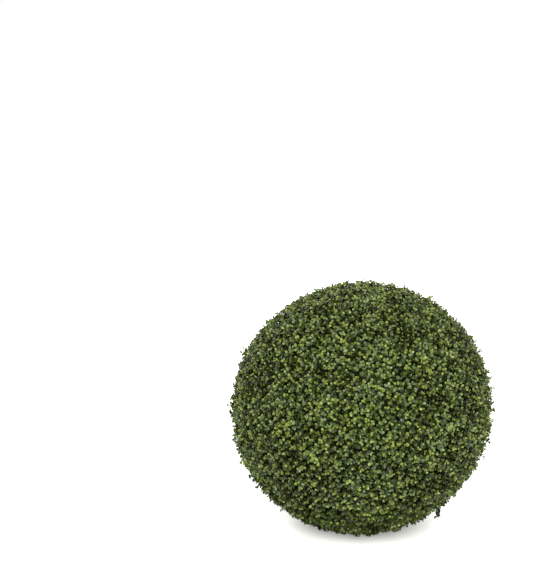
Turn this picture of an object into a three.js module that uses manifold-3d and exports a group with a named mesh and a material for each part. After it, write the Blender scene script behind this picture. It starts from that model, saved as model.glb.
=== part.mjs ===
// An artificial box topiary ball that stands on the ground: a short stem, tapering boughs that spread
// from it inside the ball, and one mass of clipped foliage at the tip of each bough.
// Millimetres, +Z up. The origin is the middle of the flat cut under the stem, at ground level.
import * as THREE from "three";
import { ConvexGeometry } from "three/addons/geometries/ConvexGeometry.js";
import { mergeVertices } from "three/addons/utils/BufferGeometryUtils.js";
import Module from "manifold-3d";

const wasm = await Module();
wasm.setup();

// The clipped ball, a little flattened by its own weight, which rests on the ground.
const BALL_WIDTH = 544;
const BALL_ROUND_HEIGHT = 528;
const CENTRE_HEIGHT = 257;
const GROUND_GAP = 0.4;
const CLEARANCE = 0.3;

// The stem: radii at the ground, above the flare and at the fork, and how far it leans.
const STEM = { height: 116, footRadius: 19, waistRadius: 12, forkRadius: 9.5, flareHeight: 26, lean: 5 };
const FLARE_LOBES = 5;
const FLARE_LOBE_DEPTH = 0.14;

// The boughs: where they leave the stem, how they bend, where they end and their radii.
const LOWER_FORK_HEIGHT = 74;
const UPPER_FORK_HEIGHT = 97;
const FORK_STAGGER = 5;
const BOUGH = { spread: 45, lift: 18, run: 50, end: 150, radius: 4.6, tipRadius: 3.2 };
const LEADER = { radius: 6, bend: 60 };

// The masses: one at the top, one round the foot and two staggered rings between them.
const RING_COUNT = 5;
const RING_LATITUDE = Math.atan(0.5);
const RING_TURN = 0.35;
const MASS_SETBACK = 0.9;

// The growth rule. Each level of forks is spread evenly over the ball at its own depth under the
// clipped surface, and each fork grows from the nearest fork of the level below in the same mass.
const ARM_COUNT = 48;
const SPRAY_COUNT = 144;
const HAND_DEPTH = 96;
const ARM_DEPTH = 40;
const SPRAY_DEPTH = 22;
const ARM_RADIUS = 2.6;
const ARM_ROOT_RADIUS = 2.2;
const SPRAY_RADIUS = 1.7;
const TIP_RADIUS = 1.1;
const ARM_SPACING = 0.07;
const PULL_IN = 0.1;
const SPREAD_JITTER = 0.22;

// The foot's mass has no bough: its stem leaves the side of the plant's stem.
const FOOT_STEM = { height: 62, length: 34, drop: 6, turn: 0.38 };

// The dense core inside each mass, which the leaves stand out of.
const CORE_DEPTH = 15;
const CORE_THICKNESS = 38;
const CORE_UNEVEN = 5;
const CORE_DETAIL = 4;
const HOLLOW_DETAIL = 1;

// The leaves, each of which stands for a spray of smaller ones. Angles are in degrees.
const LEAF_COUNT = 640;
const LEAF = { length: 50, width: 35, thickness: 2.4, widest: 0.55, cup: 3, keel: 0.4 };
const ROOT_SINK = 5;
const LEAF_TILTS = [22, 32, 44, 58, 74];
const LEAF_TURNS = [0, 25, -25, 55, -55, 90, -90];
const TILT_UNEVEN = 10;
const LEAF_UNEVEN = 2.5;
const STRAY_SHARE = 0.06;
const STRAY_REACH = 8;

const GOLDEN_ANGLE = Math.PI * (3 - Math.sqrt(5));
const CENTRE = new THREE.Vector3(0, 0, CENTRE_HEIGHT);
const UP = new THREE.Vector3(0, 0, 1);

const bark = new THREE.MeshStandardMaterial({ color: 0x4b3a28, roughness: 0.85, metalness: 0 });
const foliage = new THREE.MeshStandardMaterial({ color: 0x4f6a2c, roughness: 0.6, metalness: 0 });

// A seeded number from 0 to 1 that depends only on its index and its salt.
function scatter(index, salt) {
  const wave = Math.sin(index * 12.9898 + salt * 78.233) * 43758.5453;
  return wave - Math.floor(wave);
}

// The distance from the ball's centre to its clipped surface or the ground, along a unit direction.
function reach(direction) {
  const flat = Math.hypot(direction.x, direction.y);
  const round = 1 / Math.hypot(flat / (BALL_WIDTH / 2), direction.z / (BALL_ROUND_HEIGHT / 2));
  const ground = direction.z < 0 ? CENTRE_HEIGHT / -direction.z : Infinity;
  return Math.min(round, ground);
}

// The point at a depth under the clipped surface, along a unit direction.
function under(direction, depth) {
  return CENTRE.clone().addScaledVector(direction, reach(direction) - depth);
}

// Unit directions spread evenly over the ball on a golden spiral, each moved a little at random.
function evenDirections(count, salt) {
  const spacing = Math.sqrt((4 * Math.PI) / count);
  return Array.from({ length: count }, (_, i) => {
    const height = 1 - (2 * i + 1) / count;
    const turn = i * GOLDEN_ANGLE + salt;
    const flat = Math.sqrt(1 - height * height);
    const shift = [1, 2, 3].map((k) => (scatter(i, salt + k) - 0.5) * 2 * SPREAD_JITTER * spacing);
    const x = flat * Math.cos(turn) + shift[0];
    const y = flat * Math.sin(turn) + shift[1];
    return new THREE.Vector3(x, y, height + shift[2]).normalize();
  });
}

// The index of the direction in a list that lies nearest to a given one.
function nearest(direction, list) {
  const closeness = list.map((other) => direction.dot(other));
  return closeness.indexOf(Math.max(...closeness));
}

// A copy of a three.js geometry with its shared vertices joined.
function weld(geometry) {
  const plain = geometry.clone();
  plain.deleteAttribute("normal");
  plain.deleteAttribute("uv");
  return mergeVertices(plain, 1e-3);
}

// Turns a three.js geometry into a solid that can be joined and cut.
function solid(geometry) {
  const welded = weld(geometry);
  return new wasm.Manifold(
    new wasm.Mesh({
      numProp: 3,
      vertProperties: welded.attributes.position.array,
      triVerts: new Uint32Array(welded.index.array),
    }),
  );
}

// Turns a solid back into a three.js geometry with flat faces.
function geometryOf(body) {
  const mesh = body.getMesh();
  const geometry = new THREE.BufferGeometry();
  geometry.setAttribute("position", new THREE.BufferAttribute(mesh.vertProperties, 3));
  geometry.setIndex(new THREE.BufferAttribute(mesh.triVerts, 1));
  const faceted = geometry.toNonIndexed();
  faceted.computeVertexNormals();
  return faceted;
}

// A round limb along a curve. radius gives its radius at t, from 0 to 1 along it, and at an angle.
function limb(curve, radius, sides, steps) {
  const geometry = new THREE.CylinderGeometry(1, 1, 1, sides, steps);
  const frames = curve.computeFrenetFrames(steps);
  const place = geometry.attributes.position;
  for (let i = 0; i < place.count; i++) {
    const step = Math.round((place.getY(i) + 0.5) * steps);
    const across = place.getX(i);
    const along = place.getZ(i);
    const size = radius(step / steps, Math.atan2(along, across));
    const point = curve
      .getPointAt(step / steps)
      .addScaledVector(frames.normals[step], across * size)
      .addScaledVector(frames.binormals[step], -along * size);
    place.setXYZ(i, point.x, point.y, point.z);
  }
  return geometry;
}

// A straight three-sided twig that tapers from one point to another.
function twig(from, to, startRadius, endRadius) {
  const geometry = new THREE.CylinderGeometry(endRadius, startRadius, from.distanceTo(to), 3, 1);
  const heading = to.clone().sub(from).normalize();
  const middle = from.clone().lerp(to, 0.5);
  geometry.applyQuaternion(new THREE.Quaternion().setFromUnitVectors(new THREE.Vector3(0, 1, 0), heading));
  return solid(geometry.translate(middle.x, middle.y, middle.z));
}

// The stem's centreline rises straight from the ground and then leans.
const stemLine = new THREE.CubicBezierCurve3(
  new THREE.Vector3(0, 0, 0),
  new THREE.Vector3(0, 0, STEM.height * 0.35),
  new THREE.Vector3(STEM.lean, -STEM.lean * 0.5, STEM.height * 0.7),
  new THREE.Vector3(STEM.lean, -STEM.lean, STEM.height),
);

// The stem with its lobed root flare, made wider all round by extra.
function stemGeometry(extra) {
  const radius = (t, angle) => {
    const taper = THREE.MathUtils.lerp(STEM.waistRadius, STEM.forkRadius, t);
    const nearGround = Math.max(0, 1 - (t * STEM.height) / STEM.flareHeight) ** 2;
    const lobe = 1 + FLARE_LOBE_DEPTH * nearGround * Math.cos(FLARE_LOBES * angle);
    return (taper + (STEM.footRadius - STEM.waistRadius) * nearGround) * lobe + extra;
  };
  return limb(stemLine, radius, 15, 12);
}

const stemClearance = solid(stemGeometry(CLEARANCE));

// A point on the stem's centreline, at about a height above the ground.
function onStem(height) {
  return stemLine.getPointAt(height / STEM.height);
}

// A ring of masses at a latitude, with the heights where their boughs leave the stem.
function massRing(name, latitude, offset, forkHeight) {
  return Array.from({ length: RING_COUNT }, (_, i) => {
    const turn = RING_TURN + ((i + offset) * 2 * Math.PI) / RING_COUNT;
    const direction = new THREE.Vector3(Math.cos(turn), Math.sin(turn), Math.tan(latitude)).normalize();
    return { name: `${name}_${i + 1}`, direction, forkHeight: forkHeight + FORK_STAGGER * (i % 2 ? 1 : -1) };
  });
}

const masses = [
  { name: "top", direction: UP.clone() },
  ...massRing("upper", RING_LATITUDE, 0, UPPER_FORK_HEIGHT),
  ...massRing("lower", -RING_LATITUDE, 0.5, LOWER_FORK_HEIGHT),
  { name: "foot", direction: UP.clone().negate() },
];
const massDirections = masses.map((mass) => mass.direction);

// The tip of a mass's bough, in the hollow of the ball, or a point that much further out.
function boughTip(mass, further = 0) {
  return CENTRE.clone().addScaledVector(mass.direction, BOUGH.end + further);
}

// The leader rises from the stem's fork, and the other boughs spread from the stem's sides.
function boughLine(mass) {
  const end = boughTip(mass);
  if (mass.name === "top") {
    const start = stemLine.getPointAt(1).addScaledVector(UP, CLEARANCE);
    const bend = UP.clone().multiplyScalar(LEADER.bend);
    return new THREE.CubicBezierCurve3(start, start.clone().add(bend), end.clone().sub(bend), end);
  }
  const start = onStem(mass.forkHeight);
  const sideways = mass.direction.clone().setZ(0).normalize();
  const out = start.clone().addScaledVector(sideways, BOUGH.spread).addScaledVector(UP, BOUGH.lift);
  return new THREE.CubicBezierCurve3(start, out, boughTip(mass, -BOUGH.run), end);
}

function boughBody(mass) {
  const startRadius = mass.name === "top" ? LEADER.radius : BOUGH.radius;
  const radius = (t) => THREE.MathUtils.lerp(startRadius, BOUGH.tipRadius, t);
  return solid(limb(boughLine(mass), radius, 6, 6)).subtract(stemClearance);
}

// The directions where a mass's share of the ball meets the shares of two neighbours.
function shareCorners(own) {
  const corners = [];
  const others = massDirections.filter((other) => other !== own);
  others.forEach((first, j) => {
    others.slice(j + 1).forEach((second) => {
      const corner = first.clone().sub(own).cross(second.clone().sub(own)).normalize();
      if (corner.dot(own) < 0) corner.negate();
      const closest = Math.max(...others.map((other) => other.dot(corner)));
      if (closest <= corner.dot(own) + 1e-6) corners.push(corner);
    });
  });
  return corners;
}

// The space of a mass: a pyramid with its tip near the ball's centre, and the planes of its sides.
function massSpace(own) {
  const tip = CENTRE.clone().addScaledVector(own, MASS_SETBACK);
  const far = shareCorners(own).map((corner) => tip.clone().addScaledVector(corner, BALL_WIDTH));
  const planes = massDirections
    .filter((other) => other !== own)
    .map((other) => other.clone().sub(own).normalize())
    .map((normal) => new THREE.Plane().setFromNormalAndCoplanarPoint(normal, tip));
  return { pyramid: solid(new ConvexGeometry([tip, ...far])), planes };
}

// A round body at a depth under the clipped surface, with seeded dents and bumps.
function roundBody(depth, uneven, detail) {
  const geometry = weld(new THREE.IcosahedronGeometry(1, detail));
  const place = geometry.attributes.position;
  for (let i = 0; i < place.count; i++) {
    const direction = new THREE.Vector3().fromBufferAttribute(place, i).normalize();
    const point = under(direction, depth + (scatter(i, 5) - 0.5) * 2 * uneven);
    place.setXYZ(i, point.x, point.y, point.z);
  }
  return solid(geometry);
}

const coreShell = roundBody(CORE_DEPTH, CORE_UNEVEN, CORE_DETAIL)
  .subtract(roundBody(CORE_DEPTH + CORE_THICKNESS, 0, HOLLOW_DETAIL))
  .subtract(stemClearance);

// A cupped leaf of eight faces, from its root along a direction, that lies across the given side.
function leafGeometry(root, along, side) {
  const geometry = new THREE.OctahedronGeometry(1);
  const place = geometry.attributes.position;
  for (let i = 0; i < place.count; i++) {
    const edge = Math.abs(place.getY(i));
    const middle = Math.abs(place.getZ(i));
    const x = ((place.getX(i) + 1) / 2 + edge * (LEAF.widest - 0.5)) * LEAF.length;
    const y = place.getY(i) * (LEAF.width / 2);
    const z = place.getZ(i) * (LEAF.thickness / 2) + edge * LEAF.cup - middle * LEAF.keel;
    place.setXYZ(i, x, y, z);
  }
  const frame = new THREE.Matrix4().makeBasis(along, side, along.clone().cross(side));
  return geometry.applyMatrix4(frame.setPosition(root));
}

// Whether a geometry lies in a mass's space, above the ground and no further out than standOut.
function fits(geometry, planes, standOut) {
  const place = geometry.attributes.position;
  for (let i = 0; i < place.count; i++) {
    const point = new THREE.Vector3().fromBufferAttribute(place, i);
    const outward = point.clone().sub(CENTRE);
    const distance = outward.length();
    if (point.z < GROUND_GAP) return false;
    if (distance > reach(outward.normalize()) + standOut) return false;
    if (planes.some((plane) => plane.distanceToPoint(point) > 0)) return false;
  }
  return true;
}

// One leaf, which grows away from the fork that carries it. It leans up or turns until it fits, and
// is left out if it can't. A few stray leaves reach past the clipped surface.
function growLeaf(direction, fork, key, fitsHere) {
  const stray = scatter(key, 21) < STRAY_SHARE ? STRAY_REACH : 0;
  const tipDepth = (scatter(key, 23) - 0.5) * LEAF_UNEVEN - stray;
  const away = direction.clone().sub(fork).projectOnPlane(direction).normalize();
  for (const tilt of LEAF_TILTS) {
    const lean = THREE.MathUtils.degToRad(tilt + (scatter(key, 22) - 0.5) * TILT_UNEVEN);
    const fall = (LEAF.length * Math.cos(lean)) ** 2 / BALL_WIDTH;
    const tipRise = LEAF.length * Math.sin(lean) + fall;
    const root = under(direction, Math.max(tipRise + tipDepth, CORE_DEPTH + ROOT_SINK));
    for (const turn of LEAF_TURNS) {
      const outer = away.clone().applyAxisAngle(direction, THREE.MathUtils.degToRad(turn));
      const along = outer.clone().multiplyScalar(Math.cos(lean)).addScaledVector(direction, Math.sin(lean));
      const leaf = leafGeometry(root, along, direction.clone().cross(outer));
      if (fitsHere(leaf, stray + LEAF_UNEVEN)) return solid(leaf);
    }
  }
  return null;
}

const armDirections = evenDirections(ARM_COUNT, 3);
const sprayDirections = evenDirections(SPRAY_COUNT, 7);
const leafDirections = evenDirections(LEAF_COUNT, 13);

// Where a mass's stem starts and ends: on from its bough's tip, or out of the side of the plant's stem.
function massStem(mass) {
  if (mass.name === "foot") {
    const start = onStem(FOOT_STEM.height);
    const outward = new THREE.Vector3(Math.cos(FOOT_STEM.turn), Math.sin(FOOT_STEM.turn), 0);
    const hand = start.clone().addScaledVector(outward, FOOT_STEM.length);
    return { start, hand: hand.addScaledVector(UP, -FOOT_STEM.drop) };
  }
  return { start: boughTip(mass, CLEARANCE), hand: under(mass.direction, HAND_DEPTH) };
}

// The wood of a mass: its stem forks into arms, one after another, and each arm into sprays.
function massWood(mass, arms, sprays) {
  const { start, hand } = massStem(mass);
  const armEnds = arms.map((arm) => under(arm, ARM_DEPTH));
  const armTwigs = armEnds.map((end, k) => {
    const from = hand.clone().lerp(start, ARM_SPACING * (k + 0.5));
    return twig(from, end, ARM_ROOT_RADIUS, SPRAY_RADIUS);
  });
  const sprayTwigs = sprays.map((spray) => {
    const from = armEnds[nearest(spray, arms)];
    return twig(from, under(spray, SPRAY_DEPTH), SPRAY_RADIUS, TIP_RADIUS);
  });
  return [twig(start, hand, BOUGH.tipRadius, ARM_RADIUS), ...armTwigs, ...sprayTwigs];
}

// One mass of foliage: its wood and its leaves, fused to its core.
function massBody(mass) {
  const own = mass.direction;
  const space = massSpace(own);
  const inMass = (direction) => massDirections[nearest(direction, massDirections)] === own;
  const pulledIn = (direction) => direction.clone().lerp(own, PULL_IN).normalize();
  const arms = armDirections.filter(inMass).map(pulledIn);
  const sprays = sprayDirections.filter(inMass).map(pulledIn);
  const core = coreShell.intersect(space.pyramid);
  const leaves = [];
  let grown = stemClearance;
  const fitsHere = (leaf, standOut) => {
    if (!fits(leaf, space.planes, standOut)) return false;
    const showing = solid(leaf).subtract(core);
    if (showing.intersect(grown).volume() > 0) return false;
    grown = grown.add(showing);
    return true;
  };
  leafDirections.forEach((direction, key) => {
    if (!inMass(direction)) return;
    const leaf = growLeaf(direction, sprays[nearest(direction, sprays)], key, fitsHere);
    if (leaf) leaves.push(leaf);
  });
  const joined = [...massWood(mass, arms, sprays), ...leaves].reduce((body, piece) => body.add(piece), core);
  const bodies = joined.subtract(stemClearance).decompose();
  return bodies.reduce((largest, body) => (body.volume() > largest.volume() ? body : largest));
}

const ball = new THREE.Group();

function addPart(name, geometry, material) {
  const mesh = new THREE.Mesh(geometry, material);
  mesh.name = name;
  ball.add(mesh);
}

addPart("stem", stemGeometry(0), bark);
masses.forEach((mass) => {
  if (mass.name !== "foot") addPart(`bough_${mass.name}`, geometryOf(boughBody(mass)), bark);
  addPart(`foliage_${mass.name}`, geometryOf(massBody(mass)), foliage);
});

export default ball;
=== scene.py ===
# %% [markdown]
# # An artificial box topiary ball
# A box ball looks like one clipped lump, but close up it is thousands of small leaves in crossed pairs
# on short shoots. This lesson grows them in Blender by one rule: forks are spread evenly over the
# ball, each level finer and nearer the surface than the last, and each fork grows from its nearest
# fork of the level below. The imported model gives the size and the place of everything, in metres.

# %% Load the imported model
import math

import bpy
import numpy as np
from mathutils import Euler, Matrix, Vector


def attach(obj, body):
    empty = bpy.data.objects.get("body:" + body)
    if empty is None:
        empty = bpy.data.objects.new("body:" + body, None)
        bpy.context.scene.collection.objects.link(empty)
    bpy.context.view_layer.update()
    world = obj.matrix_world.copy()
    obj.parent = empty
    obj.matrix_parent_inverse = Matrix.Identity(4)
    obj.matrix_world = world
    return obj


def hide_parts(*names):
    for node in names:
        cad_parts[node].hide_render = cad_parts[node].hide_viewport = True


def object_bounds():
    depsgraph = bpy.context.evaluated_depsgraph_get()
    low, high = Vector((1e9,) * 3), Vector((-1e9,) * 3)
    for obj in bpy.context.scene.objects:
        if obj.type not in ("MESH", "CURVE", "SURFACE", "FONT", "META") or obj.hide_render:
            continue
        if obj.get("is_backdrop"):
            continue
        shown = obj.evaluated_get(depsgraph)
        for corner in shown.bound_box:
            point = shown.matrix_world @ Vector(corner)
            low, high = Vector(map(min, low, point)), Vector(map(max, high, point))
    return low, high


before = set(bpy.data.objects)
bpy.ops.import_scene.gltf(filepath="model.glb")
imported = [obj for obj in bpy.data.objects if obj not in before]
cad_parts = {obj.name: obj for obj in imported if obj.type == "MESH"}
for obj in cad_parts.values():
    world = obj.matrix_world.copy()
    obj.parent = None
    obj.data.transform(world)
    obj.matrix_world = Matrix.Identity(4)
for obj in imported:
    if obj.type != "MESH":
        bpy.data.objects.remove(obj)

cad_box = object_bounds()
print("packed model:", len(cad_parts), "nodes in the box", cad_box)

# %% [markdown]
# ## Sizes
# The ball is a sphere that its own weight flattens a little where it rests. Its width, its height and
# its centre are used all through the lesson. Every other size stands where it is first needed.

# %% Sizes of the ball, in metres
BALL_WIDTH = 0.544
BALL_ROUND_HEIGHT = 0.528
CENTRE = np.array([0.0, 0.0, 0.257])
UP = np.array([0.0, 0.0, 1.0])
print("the ball is", BALL_WIDTH, "m wide and", round(CENTRE[2] + BALL_ROUND_HEIGHT / 2, 3), "m high")

# %% [markdown]
# ## Camera
# The photo looks down at the ball by about sixteen degrees through a long lens, and the ball lies
# right of and below the middle of the picture. Turning the camera to place it there keeps the lens
# free of shift, so every other view stays true as well.

# %% Camera
PHOTO_WIDTH, PHOTO_HEIGHT = 533, 576
BALL_PIXEL = (360.8, 407.1)
BALL_RADIUS_PIXELS = 129.3
LOOK_DOWN = math.radians(16)
LENS, SENSOR = 0.085, 0.036

focal_pixels = LENS / SENSOR * PHOTO_HEIGHT
camera_distance = BALL_WIDTH / 2 * math.hypot(focal_pixels, BALL_RADIUS_PIXELS) / BALL_RADIUS_PIXELS
towards_camera = Vector((0, -math.cos(LOOK_DOWN), math.sin(LOOK_DOWN)))
ball_right = (BALL_PIXEL[0] - PHOTO_WIDTH / 2) / focal_pixels
ball_down = (BALL_PIXEL[1] - PHOTO_HEIGHT / 2) / focal_pixels
turn_left = math.asin(ball_right / math.hypot(1, ball_right, ball_down) / math.cos(LOOK_DOWN))
tip_down = math.atan2(math.sin(LOOK_DOWN), math.cos(LOOK_DOWN) * math.cos(turn_left))
tip_down = tip_down - math.atan(ball_down)

camera_data = bpy.data.cameras.new("camera")
camera_data.lens = LENS * 1000
camera_data.sensor_width = SENSOR * 1000
camera = bpy.data.objects.new("camera", camera_data)
bpy.context.collection.objects.link(camera)
bpy.context.scene.camera = camera
camera.location = Vector(CENTRE) + camera_distance * towards_camera
camera.rotation_euler = Euler((math.pi / 2 - tip_down, 0, turn_left))
print("camera is", round(camera_distance, 2), "m from the ball's centre")

# %% [markdown]
# ## Light
# The real picture was taken on white under large soft lamps. A bright even world does most of that
# work. A soft lamp in front gives the leaves their small highlights, and a weaker one behind keeps the
# far side of the ball from looking dull.

# %% World and lamps
WORLD_STRENGTH = 1.0
LAMP_SIZE = 1.6
LAMPS = {"front_lamp": ((0.1, -2.9, 1.6), 163), "back_lamp": ((-0.4, 2.9, 1.3), 80)}


def soft_lamp(name, place, power):
    """A square lamp that faces the ball's centre."""
    data = bpy.data.lights.new(name, "AREA")
    data.size = LAMP_SIZE
    data.energy = power
    lamp = bpy.data.objects.new(name, data)
    lamp.location = place
    lamp.rotation_euler = (Vector(CENTRE) - Vector(place)).to_track_quat("-Z", "Y").to_euler()
    bpy.context.collection.objects.link(lamp)


world = bpy.data.worlds.new("studio")
world.use_nodes = True
world.node_tree.nodes["Background"].inputs["Color"].default_value = (1, 1, 1, 1)
world.node_tree.nodes["Background"].inputs["Strength"].default_value = WORLD_STRENGTH
bpy.context.scene.world = world
bpy.context.scene.view_settings.view_transform = "Standard"
for lamp_name, (place, power) in LAMPS.items():
    soft_lamp(lamp_name, place, power)
print("an even world and", len(LAMPS), "soft lamps")

# %% [markdown]
# ## Floor
# In the photo the ball rests on white, and only a soft shade shows where it stands. A floor much larger
# than the picture has no edge in view. It glows faintly, so that it stays white right up to that shade.

# %% Floor
FLOOR_SIZE = 40
FLOOR_COLOUR = (0.95, 0.95, 0.91, 1)
FLOOR_ROUGHNESS = 0.8
FLOOR_GLOW_COLOUR = (1, 1, 0.93, 1)
FLOOR_GLOW = 0.17

half = FLOOR_SIZE / 2
floor_corners = [(-half, -half, 0), (half, -half, 0), (half, half, 0), (-half, half, 0)]
floor_mesh = bpy.data.meshes.new("floor")
floor_mesh.from_pydata(floor_corners, [], [(0, 1, 2, 3)])
floor = bpy.data.objects.new("floor", floor_mesh)
bpy.context.collection.objects.link(floor)
floor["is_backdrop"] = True

floor_paint = bpy.data.materials.new("floor paint")
floor_paint.use_nodes = True
floor_shader = floor_paint.node_tree.nodes["Principled BSDF"]
floor_shader.inputs["Base Color"].default_value = FLOOR_COLOUR
floor_shader.inputs["Roughness"].default_value = FLOOR_ROUGHNESS
floor_shader.inputs["Emission Color"].default_value = FLOOR_GLOW_COLOUR
floor_shader.inputs["Emission Strength"].default_value = FLOOR_GLOW
floor_mesh.materials.append(floor_paint)
print("floor", FLOOR_SIZE, "m wide")

# %% [markdown]
# ## The growth rule
# Real box branches evenly because each shoot grows where there is light. A golden spiral spreads any
# number of points evenly over a sphere, and a small seeded shift takes away its pattern. The same few
# functions place every level, from the arms to the leaf tips, so they come first. They work on whole
# arrays of directions, which keeps thousands of shoots quick. What follows the point in the height of
# a very tall wave looks random, but is the same in every run, so it serves for every uneven size.

# %% Seeded unevenness
WAVE_STEPS, WAVE_HEIGHT = (12.9898, 78.233), 43758.5453


def scatter(index, salt):
    """Seeded numbers from 0 to 1 that depend only on their index and salt."""
    wave = np.sin(index * WAVE_STEPS[0] + salt * WAVE_STEPS[1]) * WAVE_HEIGHT
    return wave - np.floor(wave)


def give_or_take(index, salt, most):
    """Seeded numbers around 0, up to a size either way."""
    return (scatter(index, salt) - 0.5) * 2 * most


print("the first seeded numbers:", np.round(scatter(np.arange(5), 1), 2))

# %% Directions and the clipped surface
GOLDEN_ANGLE = math.pi * (3 - math.sqrt(5))
SPREAD_JITTER = 0.22
TINY = 1e-9


def unit(vectors):
    """Vectors brought to a length of 1."""
    return vectors / np.linalg.norm(vectors, axis=-1, keepdims=True)


def reach(directions):
    """The distance from the ball's centre to its clipped surface or the ground."""
    flat = np.hypot(directions[:, 0], directions[:, 1])
    height = directions[:, 2]
    round_part = 1 / np.hypot(flat / (BALL_WIDTH / 2), height / (BALL_ROUND_HEIGHT / 2))
    ground = np.where(height < 0, CENTRE[2] / np.maximum(-height, TINY), np.inf)
    return np.minimum(round_part, ground)


def under(directions, depth):
    """Points at a depth under the clipped surface."""
    return CENTRE + directions * (reach(directions) - depth)[:, None]


def even_directions(count, salt, jitter=SPREAD_JITTER):
    """Unit directions on a golden spiral, each shifted a little."""
    index = np.arange(count)
    height = 1 - (2 * index + 1) / count
    turn = index * GOLDEN_ANGLE + salt
    flat = np.sqrt(1 - height**2)
    spiral = np.stack([flat * np.cos(turn), flat * np.sin(turn), height], axis=1)
    shift = np.stack([scatter(index, salt + k) - 0.5 for k in (1, 2, 3)], axis=1)
    return unit(spiral + shift * 2 * jitter * math.sqrt(4 * math.pi / count))


print("from the centre the surface is", reach(np.array([UP, -UP])), "m away at the top and the foot")

# %% [markdown]
# ## Masses of foliage
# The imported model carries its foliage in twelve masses, one on top, two rings of five and one at the
# foot. Their middles are the corners of an icosahedron, which share a sphere out evenly. A twig belongs
# to the mass whose middle is nearest, so each mass branches only from its own bough.

# %% Middles of the masses, and which mass a direction belongs to
RING_COUNT = 5
RING_LATITUDE = math.atan(0.5)
RING_TURN = 0.35
PULL_IN = 0.1


def mass_ring(latitude, offset):
    """The middle directions of one ring of masses."""
    turn = RING_TURN + (np.arange(RING_COUNT) + offset) * 2 * math.pi / RING_COUNT
    height = np.full(RING_COUNT, math.tan(latitude))
    return unit(np.stack([np.cos(turn), np.sin(turn), height], axis=1))


masses = np.vstack([UP, mass_ring(RING_LATITUDE, 0), mass_ring(-RING_LATITUDE, 0.5), -UP])
FOOT = len(masses) - 1
mass_nodes = [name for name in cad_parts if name.startswith("foliage_")]


def mass_of(directions):
    """The number of the mass whose share of the ball holds each direction."""
    return np.argmax(directions @ masses.T, axis=1)


def pulled_in(directions):
    """Directions moved a little towards the middle of their mass."""
    return unit(directions * (1 - PULL_IN) + masses[mass_of(directions)] * PULL_IN)


def parents(children, forks):
    """For each child, the nearest fork of the level below in the same mass."""
    closeness = children @ forks.T
    closeness[mass_of(children)[:, None] != mass_of(forks)[None, :]] = -2
    return np.argmax(closeness, axis=1)


print(len(masses), "masses; nodes:", ", ".join(mass_nodes))

# %% [markdown]
# ## Stem and boughs
# Inside the ball a short stem flares at its foot and forks into boughs that taper to the masses. Each
# limb is a curve, and a Geometry Nodes tree sweeps a many-sided ring along it and pushes the skin in
# and out for bark ridges. A tree is better here than a bevelled curve, because the ridges then run
# along each limb whichever way it bends.

# %% Centreline of the stem
STEM_HEIGHT = 0.116
STEM_LEAN = 0.005
LOW_BEND, HIGH_BEND = 0.35, 0.7
LIMB_STEPS = 24


def bezier(start, first, second, end):
    """Points along a cubic curve."""
    t = np.linspace(0, 1, LIMB_STEPS + 1)[:, None]
    return (1 - t) ** 3 * start + 3 * (1 - t) ** 2 * t * first + 3 * (1 - t) * t**2 * second + t**3 * end


stem_line = bezier(
    np.zeros(3),
    np.array([0, 0, STEM_HEIGHT * LOW_BEND]),
    np.array([STEM_LEAN, -STEM_LEAN / 2, STEM_HEIGHT * HIGH_BEND]),
    np.array([STEM_LEAN, -STEM_LEAN, STEM_HEIGHT]),
)


def on_stem(height):
    """The point of the stem's centreline at a height."""
    return np.array([np.interp(height, stem_line[:, 2], stem_line[:, k]) for k in range(3)])


print("the stem ends at", np.round(stem_line[-1], 3))

# %% Centrelines of the boughs
FORK_HEIGHTS = {"upper": 0.097, "lower": 0.074}
FORK_STAGGER = 0.005
BOUGH_SPREAD, BOUGH_LIFT, BOUGH_RUN, BOUGH_END = 0.045, 0.018, 0.050, 0.150
LEADER_BEND = 0.060


def bough_line(mass):
    """The centreline of the bough that carries a mass."""
    direction = masses[mass]
    end = CENTRE + direction * BOUGH_END
    if mass == 0:
        start = stem_line[-1]
        return bezier(start, start + UP * LEADER_BEND, end - UP * LEADER_BEND, end)
    ring = "upper" if direction[2] > 0 else "lower"
    stagger = FORK_STAGGER if (mass - 1) % RING_COUNT % 2 else -FORK_STAGGER
    start = on_stem(FORK_HEIGHTS[ring] + stagger)
    sideways = unit(direction * [1, 1, 0])
    out = start + sideways * BOUGH_SPREAD + UP * BOUGH_LIFT
    return bezier(start, out, end - direction * BOUGH_RUN, end)


print("the first bough ends at", np.round(bough_line(0)[-1], 3))

# %% [markdown]
# ## Helpers for node trees
# Every piece is grown the same way. The script works out where things start and stores that in a plain
# mesh, with attributes for sizes and directions. A Geometry Nodes tree turns that seed mesh into the
# visible shape. The result is kept as a plain mesh, because exported models drop live instances.
# Each piece rides on the root body, and the nodes of the imported model that it stands for are hidden.

# %% Nodes and trees
def add_node(tree, kind, inputs=None, **options):
    """Adds a node, sets its options, and fills or joins its inputs."""
    made = tree.nodes.new(kind)
    for option, value in options.items():
        setattr(made, option, value)
    for socket, value in (inputs or {}).items():
        if isinstance(value, bpy.types.NodeSocket):
            tree.links.new(value, made.inputs[socket])
        else:
            made.inputs[socket].default_value = value
    return made


def start_tree(name, inputs):
    """A Geometry Nodes tree with a mesh in, named sizes in, and a mesh out."""
    tree = bpy.data.node_groups.new(name, "GeometryNodeTree")
    tree.interface.new_socket("Mesh", in_out="INPUT", socket_type="NodeSocketGeometry")
    for label, kind in inputs.items():
        tree.interface.new_socket(label, in_out="INPUT", socket_type="NodeSocket" + kind)
    tree.interface.new_socket("Mesh", in_out="OUTPUT", socket_type="NodeSocketGeometry")
    return tree, tree.nodes.new("NodeGroupInput").outputs


def calculate(tree, operation, *values):
    """The result of a sum on one or more values."""
    return add_node(tree, "ShaderNodeMath", dict(enumerate(values)), operation=operation).outputs[0]


def stored(tree, label, kind="FLOAT"):
    """Reads an attribute of the seed mesh by its name."""
    return add_node(tree, "GeometryNodeInputNamedAttribute", {"Name": label}, data_type=kind).outputs[0]


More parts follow.
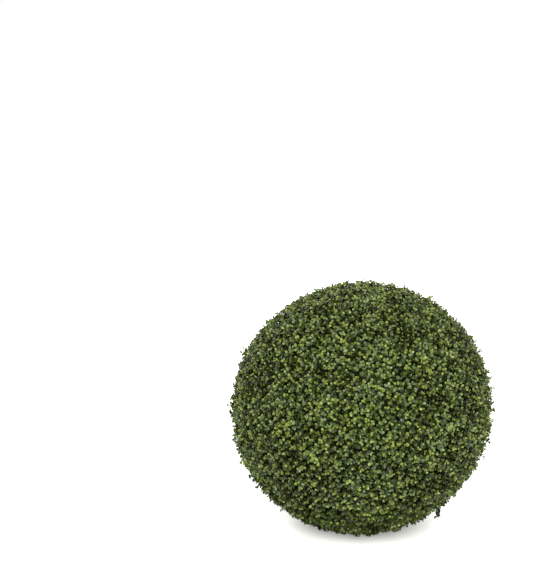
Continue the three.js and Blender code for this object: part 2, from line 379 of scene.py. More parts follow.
def end_tree(tree, geometry, material):
    """Ends a tree: its instances become real, and it gets its material."""
    real = add_node(tree, "GeometryNodeRealizeInstances", {"Geometry": geometry})
    done = add_node(tree, "GeometryNodeSetMaterial", {"Geometry": real.outputs[0], "Material": material})
    add_node(tree, "NodeGroupOutput", {"Mesh": done.outputs[0]})
    print("the tree", tree.name, "has", len(tree.nodes), "nodes")


# %% Seed meshes, and growing a piece from one
def seed_mesh(name, points, edges=(), **attributes):
    """A mesh of loose points or lines that carries numbers and directions for a tree to read."""
    mesh = bpy.data.meshes.new(name)
    mesh.vertices.add(len(points))
    mesh.vertices.foreach_set("co", np.asarray(points, "f").ravel())
    mesh.edges.add(len(edges))
    mesh.edges.foreach_set("vertices", np.asarray(edges, "i").ravel())
    for label, values in attributes.items():
        values = np.asarray(values, "f")
        kind, field = ("FLOAT", "value") if values.ndim == 1 else ("FLOAT_VECTOR", "vector")
        mesh.attributes.new(label, kind, "POINT").data.foreach_set(field, values.ravel())
    return mesh


def grow(name, seeds, tree, slot, nodes, **sizes):
    """Runs a tree on a seed mesh, keeps the plain result as a piece on the root body and hides the nodes
    it stands for.
    """
    holder = bpy.data.objects.new("holder", seeds)
    bpy.context.collection.objects.link(holder)
    modifier = holder.modifiers.new("grow", "NODES")
    modifier.node_group = tree
    for item in tree.interface.items_tree:
        if item.in_out == "INPUT" and item.name in sizes:
            modifier[item.identifier] = sizes[item.name]
    evaluated = holder.evaluated_get(bpy.context.evaluated_depsgraph_get())
    mesh = bpy.data.meshes.new_from_object(evaluated)
    bpy.data.objects.remove(holder)
    piece = bpy.data.objects.new(name, mesh)
    bpy.context.collection.objects.link(piece)
    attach(piece, "root")
    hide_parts(*nodes)
    mesh.calc_loop_triangles()
    print(name, "has", len(mesh.loop_triangles), "triangles")


# %% The tree that sweeps a limb
limb_sizes = dict.fromkeys(["Ridges", "Ridge Depth", "Ridge Length", "Flare Lobes"], "Float")
limb_tree, given = start_tree("limbs", {"Sides": "Int", **limb_sizes, "Material": "Material"})

rail = add_node(limb_tree, "GeometryNodeMeshToCurve", {"Mesh": given["Mesh"]})
rail = add_node(limb_tree, "GeometryNodeStoreNamedAttribute", {
    "Geometry": rail.outputs[0],
    "Name": "along",
    "Value": add_node(limb_tree, "GeometryNodeSplineParameter").outputs["Length"],
})
ring = add_node(limb_tree, "GeometryNodeCurvePrimitiveCircle", {
    "Resolution": given["Sides"],
    "Radius": 1.0,
})
ring_part = add_node(limb_tree, "GeometryNodeSplineParameter").outputs["Factor"]
ring = add_node(limb_tree, "GeometryNodeStoreNamedAttribute", {
    "Geometry": ring.outputs[0],
    "Name": "around",
    "Value": calculate(limb_tree, "MULTIPLY", ring_part, 2 * math.pi),
})
skin = add_node(limb_tree, "GeometryNodeCurveToMesh", {
    "Curve": rail.outputs[0],
    "Profile Curve": ring.outputs[0],
    "Scale": stored(limb_tree, "thickness"),
    "Fill Caps": True,
})
print("the limb tree has", len(limb_tree.nodes), "nodes so far")

# %% Bark ridges and root lobes in the same tree, which nowhere reach below the ground
LEAST_PLACE = (-1, -1, 0)

around = stored(limb_tree, "around")
ridge_place = add_node(limb_tree, "ShaderNodeCombineXYZ", {
    "X": calculate(limb_tree, "MULTIPLY", calculate(limb_tree, "COSINE", around), given["Ridges"]),
    "Y": calculate(limb_tree, "MULTIPLY", calculate(limb_tree, "SINE", around), given["Ridges"]),
    "Z": calculate(limb_tree, "DIVIDE", stored(limb_tree, "along"), given["Ridge Length"]),
})
ridge = add_node(limb_tree, "ShaderNodeTexNoise", {
    "Vector": ridge_place.outputs[0],
    "Scale": 1.0,
    "Detail": 3.0,
})
ridge_height = calculate(limb_tree, "SUBTRACT", ridge.outputs[0], 0.5)
ridge_height = calculate(limb_tree, "MULTIPLY", ridge_height, given["Ridge Depth"])
lobe_turn = calculate(limb_tree, "MULTIPLY", around, given["Flare Lobes"])
lobe_height = calculate(limb_tree, "COSINE", lobe_turn)
lobe_height = calculate(limb_tree, "MULTIPLY", lobe_height, stored(limb_tree, "lobe"))
push = add_node(limb_tree, "ShaderNodeVectorMath", {
    0: add_node(limb_tree, "GeometryNodeInputNormal").outputs[0],
    "Scale": calculate(limb_tree, "ADD", ridge_height, lobe_height),
}, operation="SCALE")
skin = add_node(limb_tree, "GeometryNodeSetPosition", {
    "Geometry": skin.outputs[0],
    "Offset": push.outputs[0],
})
over_ground = add_node(limb_tree, "ShaderNodeVectorMath", {
    0: add_node(limb_tree, "GeometryNodeInputPosition").outputs[0],
    1: LEAST_PLACE,
}, operation="MAXIMUM")
skin = add_node(limb_tree, "GeometryNodeSetPosition", {
    "Geometry": skin.outputs[0],
    "Position": over_ground.outputs[0],
})
end_tree(limb_tree, skin.outputs[0], given["Material"])

# %% [markdown]
# ## Bark
# The stem of an artificial plant is moulded to look like bark: dull brown, darker in its furrows. Noise
# stretched along the limb's height gives the furrows, and the same noise roughens the light on them.

# %% Bark paint
BARK_STRETCH = (260, 260, 70)
FURROW_COLOUR, RIDGE_COLOUR = (0.035, 0.022, 0.012, 1), (0.17, 0.115, 0.07, 1)
FURROW_TONE, RIDGE_TONE = 0.35, 0.7
BARK_ROUGHNESS = 0.75

bark_paint = bpy.data.materials.new("moulded bark")
bark_paint.use_nodes = True
bark_nodes = bark_paint.node_tree
bark_shader = bark_nodes.nodes["Principled BSDF"]
place = add_node(bark_nodes, "ShaderNodeTexCoord").outputs["Object"]
stretch = add_node(bark_nodes, "ShaderNodeMapping", {"Vector": place, "Scale": BARK_STRETCH})
furrows = add_node(bark_nodes, "ShaderNodeTexNoise", {
    "Vector": stretch.outputs[0],
    "Scale": 1.0,
    "Detail": 6.0,
}).outputs[0]
bark_tone = add_node(bark_nodes, "ShaderNodeValToRGB", {"Fac": furrows})
bark_tone.color_ramp.elements[0].position = FURROW_TONE
bark_tone.color_ramp.elements[0].color = FURROW_COLOUR
bark_tone.color_ramp.elements[1].position = RIDGE_TONE
bark_tone.color_ramp.elements[1].color = RIDGE_COLOUR
bark_grain = add_node(bark_nodes, "ShaderNodeBump", {
    "Height": furrows,
    "Strength": 0.5,
    "Distance": 0.001,
})
bark_nodes.links.new(bark_tone.outputs[0], bark_shader.inputs["Base Color"])
bark_nodes.links.new(bark_grain.outputs[0], bark_shader.inputs["Normal"])
bark_shader.inputs["Roughness"].default_value = BARK_ROUGHNESS
print("made the paint", bark_paint.name)

# %% Stem
STEM_FOOT, STEM_WAIST, STEM_FORK = 0.019, 0.012, 0.0095
FLARE_HEIGHT = 0.026
FLARE_LOBE_DEPTH = 0.14

height = stem_line[:, 2]
flare = np.clip(1 - height / FLARE_HEIGHT, 0, 1) ** 2
stem_radius = STEM_WAIST + (STEM_FORK - STEM_WAIST) * height / STEM_HEIGHT
stem_radius = stem_radius + (STEM_FOOT - STEM_WAIST) * flare
limb_edges = [(k, k + 1) for k in range(LIMB_STEPS)]
bark_sizes = {"Ridge Length": 0.02, "Material": bark_paint}
stem_seeds = seed_mesh(
    "stem seeds",
    stem_line,
    limb_edges,
    thickness=stem_radius,
    lobe=stem_radius * FLARE_LOBE_DEPTH * flare,
)
grow(
    "stem", stem_seeds, limb_tree, "bark", ["stem"],
    Sides=48, Ridges=4.0, **{"Ridge Depth": 0.003, "Flare Lobes": 5.0, **bark_sizes},
)

# %% Boughs
BOUGH_RADIUS, LEADER_RADIUS, BOUGH_TIP = 0.0046, 0.006, 0.0032


def bough_piece(mass, node):
    """One bough, from just inside the stem's skin to the mass's own stem."""
    base = LEADER_RADIUS if mass == 0 else BOUGH_RADIUS
    seeds = seed_mesh(
        node + " seeds",
        bough_line(mass),
        limb_edges,
        thickness=np.linspace(base, BOUGH_TIP, LIMB_STEPS + 1),
        lobe=np.zeros(LIMB_STEPS + 1),
    )
    grow(
        node, seeds, limb_tree, "bark", [node],
        Sides=16, Ridges=2.0, **{"Ridge Depth": 0.0012, "Flare Lobes": 0.0, **bark_sizes},
    )


bough_names = ["top"] + [f"{ring}_{k + 1}" for ring in ("upper", "lower") for k in range(RING_COUNT)]
for mass, bough_name in enumerate(bough_names):
    bough_piece(mass, "bough_" + bough_name)
print("stem and", len(bough_names), "boughs")

# %% [markdown]
# ## Twigs
# From the tip of each bough a short stem forks into arms, the arms into sprays, the sprays into shoots,
# and each shoot into about five leafy tips. Every twig is one line from its fork to the next, so one
# small tree can sweep a ring along thousands of them at once. A ring of eight sides or fewer is enough,
# because the thickest twig is six millimetres through.

# %% The tree that makes twigs
twig_tree, given = start_tree("twigs", {"Sides": "Int", "Material": "Material"})
rail = add_node(twig_tree, "GeometryNodeMeshToCurve", {"Mesh": given["Mesh"]})
ring = add_node(twig_tree, "GeometryNodeCurvePrimitiveCircle", {
    "Resolution": given["Sides"],
    "Radius": 1.0,
})
skin = add_node(twig_tree, "GeometryNodeCurveToMesh", {
    "Curve": rail.outputs[0],
    "Profile Curve": ring.outputs[0],
    "Scale": stored(twig_tree, "thickness"),
    "Fill Caps": True,
})
end_tree(twig_tree, skin.outputs[0], given["Material"])

# %% Twig paint
TWIG_COLOUR = (0.05, 0.045, 0.018, 1)
TWIG_ROUGHNESS = 0.6

twig_paint = bpy.data.materials.new("twigs")
twig_paint.use_nodes = True
twig_nodes = twig_paint.node_tree
twig_shader = twig_nodes.nodes["Principled BSDF"]
place = add_node(twig_nodes, "ShaderNodeTexCoord").outputs["Object"]
knots = add_node(twig_nodes, "ShaderNodeTexNoise", {"Vector": place, "Scale": 300.0, "Detail": 3.0})
knots_bump = add_node(twig_nodes, "ShaderNodeBump", {
    "Height": knots.outputs[0],
    "Strength": 0.4,
    "Distance": 0.0005,
})
twig_nodes.links.new(knots_bump.outputs[0], twig_shader.inputs["Normal"])
twig_shader.inputs["Base Color"].default_value = TWIG_COLOUR
twig_shader.inputs["Roughness"].default_value = TWIG_ROUGHNESS
print("made the paint", twig_paint.name)

# %% [markdown]
# ## Level rows at the foot
# Where the ball rests, its lowest tips are pressed into level rows. They could be laid out by hand, but
# it is enough to bend the even spread: near the foot each tip's height is pulled towards the nearest
# row, and higher up the pull fades to nothing.

# %% Directions of every fork and tip
ARM_COUNT, SPRAY_COUNT, SHOOT_COUNT, TIP_COUNT = 48, 144, 1200, 5800
TIP_JITTER = 0.17
ROW_STEP, ROW_PULL = 0.019, 0.75
ROW_HEIGHT, ROW_FADE = -0.3, 0.2


def in_rows(directions):
    """Directions near the foot are pulled towards level rows, and the others stay."""
    height = np.clip(directions[:, 2], -1, 1)
    rise = np.arcsin(height)
    step = ROW_STEP / (BALL_WIDTH / 2)
    pull = ROW_PULL * np.clip((ROW_HEIGHT - height) / ROW_FADE, 0, 1) * step / (2 * math.pi)
    rise = rise - pull * np.sin(rise / step * 2 * math.pi)
    level = unit(directions[:, :2])
    return np.column_stack([level * np.cos(rise)[:, None], np.sin(rise)])


arms = pulled_in(even_directions(ARM_COUNT, 3))
sprays = pulled_in(even_directions(SPRAY_COUNT, 7))
shoots = even_directions(SHOOT_COUNT, 31)
tips = in_rows(even_directions(TIP_COUNT, 43, TIP_JITTER))
print(len(arms), "arms,", len(sprays), "sprays,", len(shoots), "shoots,", len(tips), "tips")

# %% Where the twigs start and end
CLEARANCE = 0.0003
HAND_DEPTH, ARM_DEPTH, SPRAY_DEPTH, SHOOT_DEPTH = 0.096, 0.040, 0.022, 0.027
ARM_SPACING = 0.07
FOOT_HEIGHT, FOOT_LENGTH, FOOT_DROP, FOOT_TURN = 0.062, 0.034, 0.006, 0.38

stem_starts = CENTRE + masses * (BOUGH_END + CLEARANCE)
hands = under(masses, HAND_DEPTH)
foot_out = np.array([math.cos(FOOT_TURN), math.sin(FOOT_TURN), 0])
stem_starts[FOOT] = on_stem(FOOT_HEIGHT) + foot_out * STEM_WAIST
hands[FOOT] = on_stem(FOOT_HEIGHT) + foot_out * FOOT_LENGTH - UP * FOOT_DROP

arm_mass = mass_of(arms)
arm_rank = np.array([np.sum(arm_mass[:k] == arm_mass[k]) for k in range(ARM_COUNT)])
arm_part = (ARM_SPACING * (arm_rank + 0.5))[:, None]
arm_starts = hands[arm_mass] * (1 - arm_part) + stem_starts[arm_mass] * arm_part
arm_ends = under(arms, ARM_DEPTH)
spray_starts = arm_ends[parents(sprays, arms)]
spray_ends = under(sprays, SPRAY_DEPTH)
spray_forks = (spray_starts + spray_ends) / 2
shoot_starts = spray_forks[parents(shoots, sprays)]
shoot_ends = under(shoots, SHOOT_DEPTH)
print("a mass has up to", arm_rank.max() + 1, "arms")

# %% Twigs from the masses' stems to the shoots
ARM_RADIUS, ARM_ROOT_RADIUS, SPRAY_RADIUS = 0.0026, 0.0022, 0.0017
SHOOT_RADIUS, SPRIG_RADIUS = 0.0011, 0.0007


def twig_seeds(name, starts, ends, start_radius, end_radius):
    """One line for each twig, from its fork to its end."""
    count = len(starts)
    points = np.stack([starts, ends], axis=1).reshape(-1, 3)
    edges = np.arange(2 * count).reshape(-1, 2)
    return seed_mesh(name, points, edges, thickness=np.tile([start_radius, end_radius], count))


for name, starts, ends, radii, sides in (
    ("mass_stems", stem_starts, hands, (BOUGH_TIP, ARM_RADIUS), 8),
    ("arms", arm_starts, arm_ends, (ARM_ROOT_RADIUS, SPRAY_RADIUS), 6),
    ("sprays", spray_starts, spray_ends, (SPRAY_RADIUS, SHOOT_RADIUS), 6),
    ("shoots", shoot_starts, shoot_ends, (SHOOT_RADIUS, SPRIG_RADIUS), 3),
):
    seeds = twig_seeds(name + " seeds", starts, ends, *radii)
    grow(name, seeds, twig_tree, "bark", mass_nodes, Sides=sides, Material=twig_paint)

# %% [markdown]
# ## Sprigs
# Each tip is a sprig: a thin stem with leaves. If all tips lay at one depth, the ball would look
# machined. Shears and growth leave them uneven, so each tip is moved in or out a little by itself, and
# soft patches and smaller tufts move whole groups of them. A patch is a sum of long waves over the
# ball, which is smooth, has no seam and needs no picture.

# %% Smooth patches over the ball
WAVE_COUNT = 24


def patches(directions, size, salt):
    """A smooth unevenness around 0, with patches of a size given as a share of the ball's radius."""
    index = np.arange(WAVE_COUNT)
    waves = np.stack([scatter(index, salt + k) - 0.5 for k in (1, 2, 3)], axis=1)
    waves = unit(waves) * 2 * math.pi / size
    swell = np.sin(directions @ waves.T + scatter(index, salt + 4) * 2 * math.pi)
    return swell.mean(axis=1) * math.sqrt(2 * WAVE_COUNT)


PATCH_SIZE, TUFT_SIZE = 0.28, 0.11
dip = patches(tips, PATCH_SIZE, 51)
tuft = patches(tips, TUFT_SIZE, 57)
print("patches vary by", round(dip.std(), 2), "and tufts by", round(tuft.std(), 2))

# %% How deep each tip lies
TIP_DEPTH, TIP_UNEVEN = 0.0050, 0.0031
PATCH_DEPTH, TUFT_DEPTH = 0.0005, 0.0018
FULLER = 0.0065

number = np.arange(TIP_COUNT)
tip_depth = TIP_DEPTH + give_or_take(number, 62, TIP_UNEVEN) + dip * PATCH_DEPTH + tuft * TUFT_DEPTH
tip_depth = tip_depth - FULLER * tips[:, 0] * tips[:, 2]
print("the tips lie from", round(tip_depth.min(), 4), "to", round(tip_depth.max(), 4), "m deep")

# %% [markdown]
# ## Strays, a dent and a loose sprig
# Some details belong to this one ball: tips that stand out of its outline, a shallow dent at the lower
# right, and a sprig that hangs loose from a notch there. They could be modelled by hand at the end, but
# moving the tips before anything grows on them keeps their stems and leaves together.

# %% Find the strays, the dent and the loose sprig
STRAY_SHARE = 0.03
STRAY_TURNS = (-20, -13, 0, 9, 13, 17, 25, 58, 63, 154, 181, 197, 207, 214, 220, 227, 233)
DENT_TURN = math.radians(322)
LOOSE_DIRECTION = np.array([0.585, -0.321, -0.745])

picture_right = np.array([1.0, 0, 0])
picture_up = np.array([0, math.sin(LOOK_DOWN), math.cos(LOOK_DOWN)])
stray = scatter(number, 61) < STRAY_SHARE
turns = np.radians(STRAY_TURNS)[:, None]
stray_directions = picture_right * np.cos(turns) + picture_up * np.sin(turns)
outline_strays = np.argmax(stray_directions @ tips.T, axis=1)
dent = picture_right * math.cos(DENT_TURN) + picture_up * math.sin(DENT_TURN)
from_dent = np.linalg.norm(tips - dent, axis=1)
loose = np.argmax(tips @ LOOSE_DIRECTION)
from_loose = np.linalg.norm(tips - tips[loose], axis=1)
print(np.sum(stray), "strays anywhere and", len(outline_strays), "in the outline")
print("tip", loose, "hangs loose")

# %% Move those tips out or in
STRAY_REACH, LOOSE_REACH = 0.007, 0.007
DENT_DEPTH, DENT_WIDTH = 0.0032, 0.35
NOTCH_DEPTH, NOTCH_WIDTH = 0.008, 0.045
LOWEST_TIP = 0.0012

tip_depth = tip_depth + DENT_DEPTH * np.exp(-(from_dent / DENT_WIDTH) ** 2)
tip_depth = tip_depth - stray * (tips[:, 2] > ROW_HEIGHT) * STRAY_REACH * scatter(number, 63)
tip_depth[outline_strays] = -STRAY_REACH * (0.5 + 0.5 * scatter(outline_strays, 67))
tip_depth = tip_depth + NOTCH_DEPTH * (from_loose < NOTCH_WIDTH)
too_low = under(tips, tip_depth)[:, 2] < LOWEST_TIP
tip_depth = np.where(too_low, np.maximum(tip_depth, LOWEST_TIP), tip_depth)
tip_depth[loose] = -LOOSE_REACH

proud = stray * STRAY_REACH
proud[outline_strays] = STRAY_REACH
proud[loose] = LOOSE_REACH
print(np.sum(proud > 0), "tips may stand out of the surface")

# %% Which way each sprig points
SPRIG_TILT = 0.6
DROOP = 0.4
LOOSE_AXIS = np.array([0.04, -0.2, -0.98])


def beside(directions):
    """Two unit directions square to each given one."""
    side = unit(np.cross(directions, np.where(np.abs(directions[:, 2:]) < 0.9, UP, [1.0, 0, 0])))
    return side, np.cross(directions, side)


side, other = beside(tips)
tilt = scatter(number, 64)[:, None] ** 0.5 * SPRIG_TILT
tilt_turn = scatter(number, 65)[:, None] * 2 * math.pi
sprig_axes = tips + (side * np.cos(tilt_turn) + other * np.sin(tilt_turn)) * tilt
sprig_axes = unit(sprig_axes + np.minimum(tips[:, 2:], 0) * UP * DROOP)
sprig_axes[loose] = unit(LOOSE_AXIS)
most_lean = round(math.degrees(math.atan(SPRIG_TILT)))
print("sprigs lean by up to", most_lean, "degrees, and those near the foot hang")

# %% Stems of the sprigs
SPRIG_LENGTH, LOOSE_LENGTH = 0.021, 0.030
SPRIG_TIP_RADIUS, LOOSE_RADIUS = 0.0004, 0.0018
STRAY_THICKER = 0.5

sprig_tips = under(tips, tip_depth)
sprig_length = np.where(number == loose, LOOSE_LENGTH, SPRIG_LENGTH)
sprig_feet = sprig_tips - sprig_axes * sprig_length[:, None]
sprig_starts = shoot_ends[parents(tips, shoots)]
sprig_points = np.stack([sprig_starts, sprig_feet, sprig_tips], axis=1).reshape(-1, 3)
first = np.arange(TIP_COUNT)[:, None] * 3
sprig_edges = np.hstack([first, first + 1, first + 1, first + 2]).reshape(-1, 2)
thicker = 1 + (proud > 0) * STRAY_THICKER
thicker[loose] = LOOSE_RADIUS / SPRIG_RADIUS
sprig_radii = np.array([SPRIG_RADIUS, SPRIG_RADIUS, SPRIG_TIP_RADIUS]) * thicker[:, None]
seeds = seed_mesh("sprig seeds", sprig_points, sprig_edges, thickness=sprig_radii.ravel())
grow("sprig_stems", seeds, twig_tree, "bark", mass_nodes, Sides=3, Material=twig_paint)

# %% [markdown]
# ## Where the leaves grow
# Box leaves grow in opposite pairs, each pair turned a quarter circle from the one before. The pairs
# near the tip are smaller and stand up more, so a sprig seen from outside looks like a rosette. Near
# the foot the pairs lie level and hardly cross. An object for each leaf would be slow, so the leaves
# of all sprigs are worked out together as arrays of places, directions and sizes.

# %% The leaves of every sprig
PAIR_COUNT = 6
PAIR_STEP, PAIR_FADE = 0.0036, 1.3
TIP_LEAN, LOW_LEAN = math.radians(40), math.radians(72)
TIP_LEAF, LOW_LEAF = 0.68, 1.0
LEAN_UNEVEN, TURN_UNEVEN, ROLL_UNEVEN = math.radians(20), math.radians(20), math.radians(46)
SIZE_UNEVEN = 0.2
FOOT_FADE, FOOT_FLAT = 0.3, 0.85


def sprig_leaves(ends, axes, numbers, flat):
    """Roots, directions, upper sides, sizes, pair numbers and sprig numbers of the leaves of sprigs."""
    side, other = beside(axes)
    leaves = []
    for leaf in range(2 * PAIR_COUNT):
        pair, opposite = divmod(leaf, 2)
        low = 1 - math.exp(-pair / PAIR_FADE)
        key = numbers * 2 * PAIR_COUNT + leaf
        lean = TIP_LEAN + (LOW_LEAN - TIP_LEAN) * low + give_or_take(key, 71, LEAN_UNEVEN)
        turn = (scatter(numbers, 72) * math.pi + pair * math.pi / 2) * (1 - flat) + opposite * math.pi
        turn = turn + give_or_take(key, 73, TURN_UNEVEN)
        roll = give_or_take(key, 74, ROLL_UNEVEN)
        size = (TIP_LEAF + (LOW_LEAF - TIP_LEAF) * low) * (1 + give_or_take(key, 75, SIZE_UNEVEN))
        lean, turn, roll = lean[:, None], turn[:, None], roll[:, None]
        outer = side * np.cos(turn) + other * np.sin(turn)
        along = outer * np.sin(lean) + axes * np.cos(lean)
        across = np.cross(axes, outer)
        up = (axes * np.sin(lean) - outer * np.cos(lean)) * np.cos(roll) + across * np.sin(roll)
        root = ends - axes * PAIR_STEP * pair
        leaves.append((root, along, up, size, np.full(len(ends), pair), numbers))
    return [np.concatenate(parts) for parts in zip(*leaves)]


near_foot = np.clip((ROW_HEIGHT - tips[:, 2]) / FOOT_FADE, 0, 1)
root, along, up, size, pair, sprig = sprig_leaves(sprig_tips, sprig_axes, number, FOOT_FLAT * near_foot)
print(len(root), "leaves on", TIP_COUNT, "sprigs")

# %% Level leaves at the foot, and the leaves of the loose sprig
LEVEL = 0.55
LOOSE_OPEN = 0.3
LOOSE_LEAF = 1.1
LOOSE_DOWN, LOOSE_RIGHT = [[0.5], [1.0]], [[-1.0], [0.4]]

level = LEVEL * near_foot[sprig, None]
along = unit(along - UP * along * level)
up = unit(up * (1 - level) + UP * level)
closed = (sprig == loose) & (pair > 0)
along[closed] = unit(along[closed] * LOOSE_OPEN + sprig_axes[loose])
end_pair = (sprig == loose) & (pair == 0)
along[end_pair] = unit(sprig_axes[loose] * LOOSE_DOWN + picture_right * LOOSE_RIGHT)
size[end_pair] = LOOSE_LEAF
print(np.sum(near_foot > 0), "sprigs have level leaves, and one hangs loose")

# %% [markdown]
# ## Clipping the leaves
# Shears cut whatever stands out, and the ground stops the rest. Cutting meshes would leave open edges,
# so a leaf that reaches too far or too low is left out as a whole.

# %% Leaves that fit
LEAF_LENGTH, LEAF_WIDTH, LEAF_DROOP = 0.0088, 0.0073, 0.0016
LEAF_SPARE = 0.0075
FOOT_SPARE = 0.4
GROUND_GAP = 0.0004


def fits(root, along, up, size, extra):
    """Which leaves lie above the ground and reach hardly further out than the clipped surface."""
    end = root + along * (size * LEAF_LENGTH)[:, None]
    outward = end - CENTRE
    distance = np.linalg.norm(outward, axis=1)
    sideways = np.abs(np.cross(up, along)[:, 2])
    sag = size * (sideways * LEAF_WIDTH / 2 + np.abs(up[:, 2]) * LEAF_DROOP)
    lowest = np.minimum(root[:, 2], end[:, 2]) - sag
    spare = LEAF_SPARE * np.clip(1 + FOOT_SPARE + outward[:, 2] / distance, 0, 1)
    return (lowest > GROUND_GAP) & (distance < reach(unit(outward)) + spare + extra)


kept = fits(root, along, up, size, proud[sprig])
root, along, up, size, pair, sprig = (part[kept] for part in (root, along, up, size, pair, sprig))
print(np.sum(~kept), "leaves left out,", len(root), "kept")

# %% [markdown]
# ## Leaves
# A box leaf is a small oval, folded a little along its midrib and bent down at its tip. The tree starts
# from a disc of ten triangles, draws it out to that outline, and puts one on every seed point, turned
# by the two directions stored there. Ten faces are enough at this size and keep the whole ball light.
# A narrower base takes away some width, so the disc starts a little wider than the leaf.

# %% The shape of a leaf
DISC_SIDES = 10
HALF_WIDTH_SHARE = 0.62

leaf_sizes = dict.fromkeys(["Length", "Width", "Base Narrowing", "Cup", "Droop"], "Float")
leaf_tree, given = start_tree("leaves", {**leaf_sizes, "Material": "Material"})
disc = add_node(leaf_tree, "GeometryNodeMeshCircle", {"Vertices": DISC_SIDES}, fill_type="TRIANGLE_FAN")
disc_place = add_node(leaf_tree, "ShaderNodeSeparateXYZ", {
    "Vector": add_node(leaf_tree, "GeometryNodeInputPosition").outputs[0],
})
part = calculate(leaf_tree, "MULTIPLY_ADD", disc_place.outputs["X"], 0.5, 0.5)
narrowing = calculate(leaf_tree, "POWER", part, given["Base Narrowing"])
sideways = calculate(leaf_tree, "MULTIPLY", disc_place.outputs["Y"], narrowing)
half_width = calculate(leaf_tree, "MULTIPLY", given["Width"], HALF_WIDTH_SHARE)
cup = calculate(leaf_tree, "MULTIPLY", calculate(leaf_tree, "ABSOLUTE", sideways), given["Cup"])
droop = calculate(leaf_tree, "MULTIPLY", calculate(leaf_tree, "POWER", part, 2.0), given["Droop"])
leaf_place = add_node(leaf_tree, "ShaderNodeCombineXYZ", {
    "X": calculate(leaf_tree, "MULTIPLY", part, given["Length"]),
    "Y": calculate(leaf_tree, "MULTIPLY", sideways, half_width),
    "Z": calculate(leaf_tree, "SUBTRACT", cup, droop),
})
leaf_shape = add_node(leaf_tree, "GeometryNodeSetPosition", {
    "Geometry": disc.outputs[0],
    "Position": leaf_place.outputs[0],
})
leaf_shape = add_node(leaf_tree, "GeometryNodeSetShadeSmooth", {"Geometry": leaf_shape.outputs[0]})
print("a leaf is", LEAF_LENGTH * 1000, "mm long")

# %% A leaf on every seed point
facing = add_node(leaf_tree, "FunctionNodeAxesToRotation", {
    "Primary Axis": stored(leaf_tree, "along", "FLOAT_VECTOR"),
    "Secondary Axis": stored(leaf_tree, "up", "FLOAT_VECTOR"),
}, primary_axis="X", secondary_axis="Z")
leaves_on_points = add_node(leaf_tree, "GeometryNodeInstanceOnPoints", {
    "Points": given["Mesh"],
    "Instance": leaf_shape.outputs[0],
    "Rotation": facing.outputs[0],
    "Scale": stored(leaf_tree, "size"),
})
end_tree(leaf_tree, leaves_on_points.outputs[0], given["Material"])

# %% [markdown]
# ## Leaf paint
# The ball has two greens: fresh yellow-green leaves over darker ones, and the darker tints also carry
# painted shade for the leaves that lie deeper among the sprigs. One plain paint for each tint is what
# survives an export.
# The lighter tints come in pairs, a warm one and a cool one; the cool one is a greyer green, partly the
# leaves' own and partly a painted sheen. Each tint has a gloss of its own, and the dark ones have
# little, because they lie between others, where a sheen would only turn them grey. A fine noise in the
# roughness and the bump makes the plastic's gloss uneven.

# %% Tints of the leaves: colour, roughness and gloss
# From lime down to shade the tints are partly the leaves' own greens and partly painted shade: deep and
# shade stand for leaves in shade deep among the sprigs. The cool tints pale, silver and bluish are
# partly a painted sheen.
TINTS = {
    "lime": ((0.120, 0.157, 0.0285), 0.40, 0.24),
    "pale": ((0.087, 0.125, 0.0398), 0.37, 0.24),
    "fresh": ((0.0680, 0.089, 0.0135), 0.40, 0.22),
    "silver": ((0.0443, 0.066, 0.0210), 0.35, 0.22),
    "green": ((0.0277, 0.0415, 0.0055), 0.38, 0.16),
    "bluish": ((0.0204, 0.0325, 0.0107), 0.34, 0.18),
    "deep": ((0.0116, 0.0160, 0.0027), 0.40, 0.09),
    "shade": ((0.0057, 0.0077, 0.0011), 0.60, 0.03),
}
GRAIN_SCALE = 420.0
ROUGHNESS_UNEVEN = 0.12


def leaf_paint(name, colour, roughness, gloss):
    """Slightly glossy plastic in one tint."""
    paint = bpy.data.materials.new(name)
    paint.use_nodes = True
    tree = paint.node_tree
    shader = tree.nodes["Principled BSDF"]
    shader.inputs["Base Color"].default_value = (*colour, 1)
    shader.inputs["Specular IOR Level"].default_value = gloss
    place = add_node(tree, "ShaderNodeTexCoord").outputs["Object"]
    grain = add_node(tree, "ShaderNodeTexNoise", {"Vector": place, "Scale": GRAIN_SCALE, "Detail": 2.0})
    uneven = add_node(tree, "ShaderNodeMapRange", {
        "Value": grain.outputs[0],
        "To Min": roughness - ROUGHNESS_UNEVEN,
        "To Max": roughness + ROUGHNESS_UNEVEN,
    })
    relief = add_node(tree, "ShaderNodeBump", {
        "Height": grain.outputs[0],
        "Strength": 0.35,
        "Distance": 0.0006,
    })
    tree.links.new(uneven.outputs[0], shader.inputs["Roughness"])
    tree.links.new(relief.outputs[0], shader.inputs["Normal"])
    return paint


leaf_paints = {name: leaf_paint(name + " leaves", *tint) for name, tint in TINTS.items()}
print("made", len(leaf_paints), "leaf paints")

# %% [markdown]
# ## Which leaf has which tint
# Young leaves at a tip are light, and the leaves below them on the sprig are dark, partly as their own
# older colour and partly as painted shade, for they lie deeper among the sprigs. Sorting by height on
# the sprig alone would look too tidy, so each leaf gets a tone: its pair's number, plus some chance of
# its own and some that its sprig shares, plus soft light and dark bunches. Painted shade darkens the
# tone too: in the deeper patches and tufts, low on the ball and most of all at its foot, while the top
# of the ball gets a lighter tone as painted light. The lightest tenth gets the first pair of tints, and
# so on down to the shade.

# %% Tint of each leaf
SPRIG_TONE, LEAF_TONE, HEIGHT_PAINTED_SHADE = 1.2, 2.0, 0.4
FOOT_PAINTED_SHADE, FOOT_SHADE_FROM = 1.8, 0.35
BUNCH_SIZE, BUNCH_TONE, DIP_PAINTED_SHADE, TUFT_PAINTED_SHADE = 0.5, -0.2, 0.15, 0.1
TONE_SHARES = (0.10, 0.24, 0.44, 0.64)
COOL_SHARE = 0.4

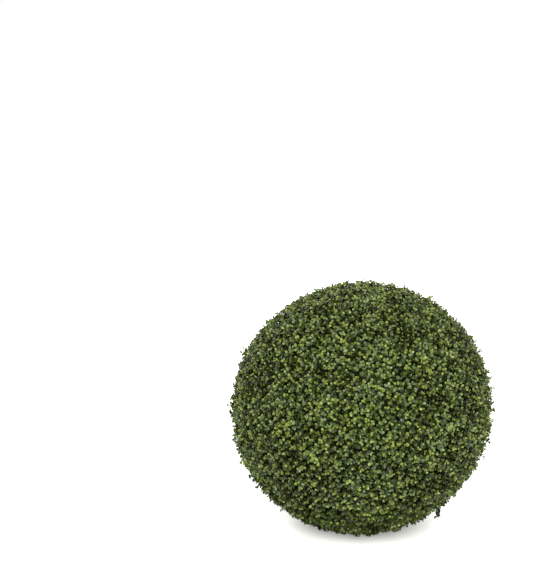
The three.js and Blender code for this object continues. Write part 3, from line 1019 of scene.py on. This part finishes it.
leaf_number = np.arange(len(sprig))
bunch = patches(tips, BUNCH_SIZE, 1441)
down = -tips[sprig, 2]
# Painted shade: each pair further down a sprig gets a darker tone, partly its older colour and partly
# the shade between sprigs.
tone = pair + SPRIG_TONE * scatter(sprig, 81) + LEAF_TONE * scatter(leaf_number, 82)
# Painted light and shade: leaves high on the ball get a lighter tone and leaves low on it a darker one,
# darker still near the foot.
tone = tone + HEIGHT_PAINTED_SHADE * down + FOOT_PAINTED_SHADE * np.maximum(down - FOOT_SHADE_FROM, 0)
# Painted shade: sprigs whose tips lie deeper in a patch or tuft get a darker tone; the bunches are the
# leaves' own light and dark tints.
tone = tone + BUNCH_TONE * bunch[sprig] + DIP_PAINTED_SHADE * dip[sprig] + TUFT_PAINTED_SHADE * tuft[sprig]
cool = 0.5 * scatter(sprig, 83) + 0.5 * scatter(leaf_number, 84)
cool = cool < np.quantile(cool, COOL_SHARE)
tint_steps = [
    np.where(cool, "pale", "lime"),
    np.where(cool, "silver", "fresh"),
    np.where(cool, "bluish", "green"),
    "deep",
]
tint = np.select([tone < np.quantile(tone, share) for share in TONE_SHARES], tint_steps, "shade")
for name in TINTS:
    print(name, np.sum(tint == name), "leaves")

# %% [markdown]
# ## Inner leaves
# Between the sprigs a real ball shows only dark foliage in shade. Full sprigs down to the stem would
# multiply the leaves for nothing, so a layer of larger leaves in the shade tint lies almost flat under
# the sprigs and closes the gaps with painted shade.

# %% Inner leaves
INNER_COUNT, INNER_SIZE = 8000, 2.7
INNER_DEPTH, INNER_UNEVEN = 0.030, 0.006
INNER_JITTER = 0.5
LEAST_INNER_LEAN, MORE_INNER_LEAN = 0.1, 0.3

inner = even_directions(INNER_COUNT, 97, INNER_JITTER)
inner_number = np.arange(INNER_COUNT)
side, other = beside(inner)
turn = scatter(inner_number, 98)[:, None] * 2 * math.pi
inner_outer = side * np.cos(turn) + other * np.sin(turn)
inner_lean = (LEAST_INNER_LEAN + MORE_INNER_LEAN * scatter(inner_number, 99))[:, None]
inner_along = inner_outer * np.cos(inner_lean) + inner * np.sin(inner_lean)
inner_up = inner * np.cos(inner_lean) - inner_outer * np.sin(inner_lean)
inner_root = under(inner, INNER_DEPTH + give_or_take(inner_number, 100, INNER_UNEVEN))
inner_size = np.full(INNER_COUNT, INNER_SIZE)
inner_kept = fits(inner_root, inner_along, inner_up, inner_size, 0)
print(np.sum(inner_kept), "inner leaves")

# %% Grow the leaves
PIECE_LEAVES = 18000
LEAF_FORM = {
    "Length": LEAF_LENGTH,
    "Width": LEAF_WIDTH,
    "Base Narrowing": 0.5,
    "Cup": 0.0016,
    "Droop": LEAF_DROOP,
}


def leaf_pieces(name, chosen, leaves, paint):
    """Grows the chosen leaves as pieces that stay small enough to load quickly."""
    rows = np.flatnonzero(chosen)
    for part, share in enumerate(np.array_split(rows, math.ceil(len(rows) / PIECE_LEAVES))):
        root, along, up, size = (values[share] for values in leaves)
        seeds = seed_mesh(name + " seeds", root, along=along, up=up, size=size)
        grow(f"{name}_{part + 1}", seeds, leaf_tree, "leaves", mass_nodes, Material=paint, **LEAF_FORM)


for tint_name, paint in leaf_paints.items():
    leaf_pieces(tint_name + "_leaves", tint == tint_name, (root, along, up, size), paint)
inner_leaves = (inner_root, inner_along, inner_up, inner_size)
# The inner leaves get the shade tint: painted shade under the sprigs.
leaf_pieces("inner_leaves", inner_kept, inner_leaves, leaf_paints["shade"])

# %% [markdown]
# ## The size of the finished ball
# The finished ball should fill the same box as the imported model, give or take a leaf. The cell works
# out both boxes and prints the finished one.

# %% Work out both boxes and finish
visual_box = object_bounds()
boxes = {"cad": cad_box, "visual": visual_box}
boxes = {name: [[float(value) for value in corner] for corner in box] for name, box in boxes.items()}
print("visual model in the box", visual_box)
